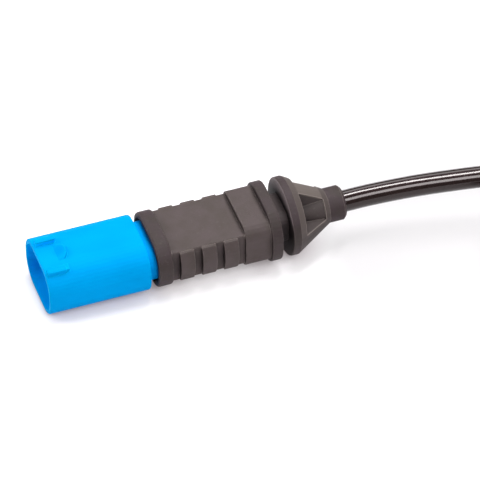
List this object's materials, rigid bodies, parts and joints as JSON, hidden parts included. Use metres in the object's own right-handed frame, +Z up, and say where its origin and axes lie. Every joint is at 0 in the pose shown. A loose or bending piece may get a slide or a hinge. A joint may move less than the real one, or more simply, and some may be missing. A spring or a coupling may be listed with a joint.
{
  "type": "brake pad wear sensor",
  "caption": "Brake pad wear sensor: oval plug with contact pins, ribbed rubber boot with bracket groove and disc, sheathed cable, and a clip-in sensor head with a wear loop.",
  "frame": {"origin": "centre of the bounding box of the connector and boot, at the level of the surface they lie on", "axes": "+X from the connector's mouth towards the cable, +Y across the connector, +Z up from the surface"},
  "size_m": [0.1452, 0.0665, 0.0178],
  "materials": {
    "blue_plastic": "satin moulded plastic",
    "black_rubber": "matt moulded rubber",
    "cable_sheath": "smooth glossy sheath",
    "tinned_brass": "tinned, satin",
    "copper": "bare copper wire",
    "core_plastic": "smooth wire insulation",
    "seal_rubber": "soft silicone",
    "head_plastic": "moulded plastic",
    "spring_steel": "bare spring steel"
  },
  "bodies": {
    "root": {"connector_housing": "blue_plastic", "contact_pin_left": "tinned_brass", "contact_pin_right": "tinned_brass", "wire_seal_left": "seal_rubber", "wire_seal_right": "seal_rubber", "conductor_left": "copper", "conductor_right": "copper", "core_insulation_left": "core_plastic", "core_insulation_right": "core_plastic", "cable_end": "cable_sheath", "rubber_boot": "black_rubber", "cable_lead": "cable_sheath", "cable_coil": "cable_sheath", "cable_tail": "cable_sheath", "head_sleeve": "black_rubber", "sensor_head": "head_plastic", "wear_loop": "copper", "spring_clip": "spring_steel"}
  },
  "joints": []
}
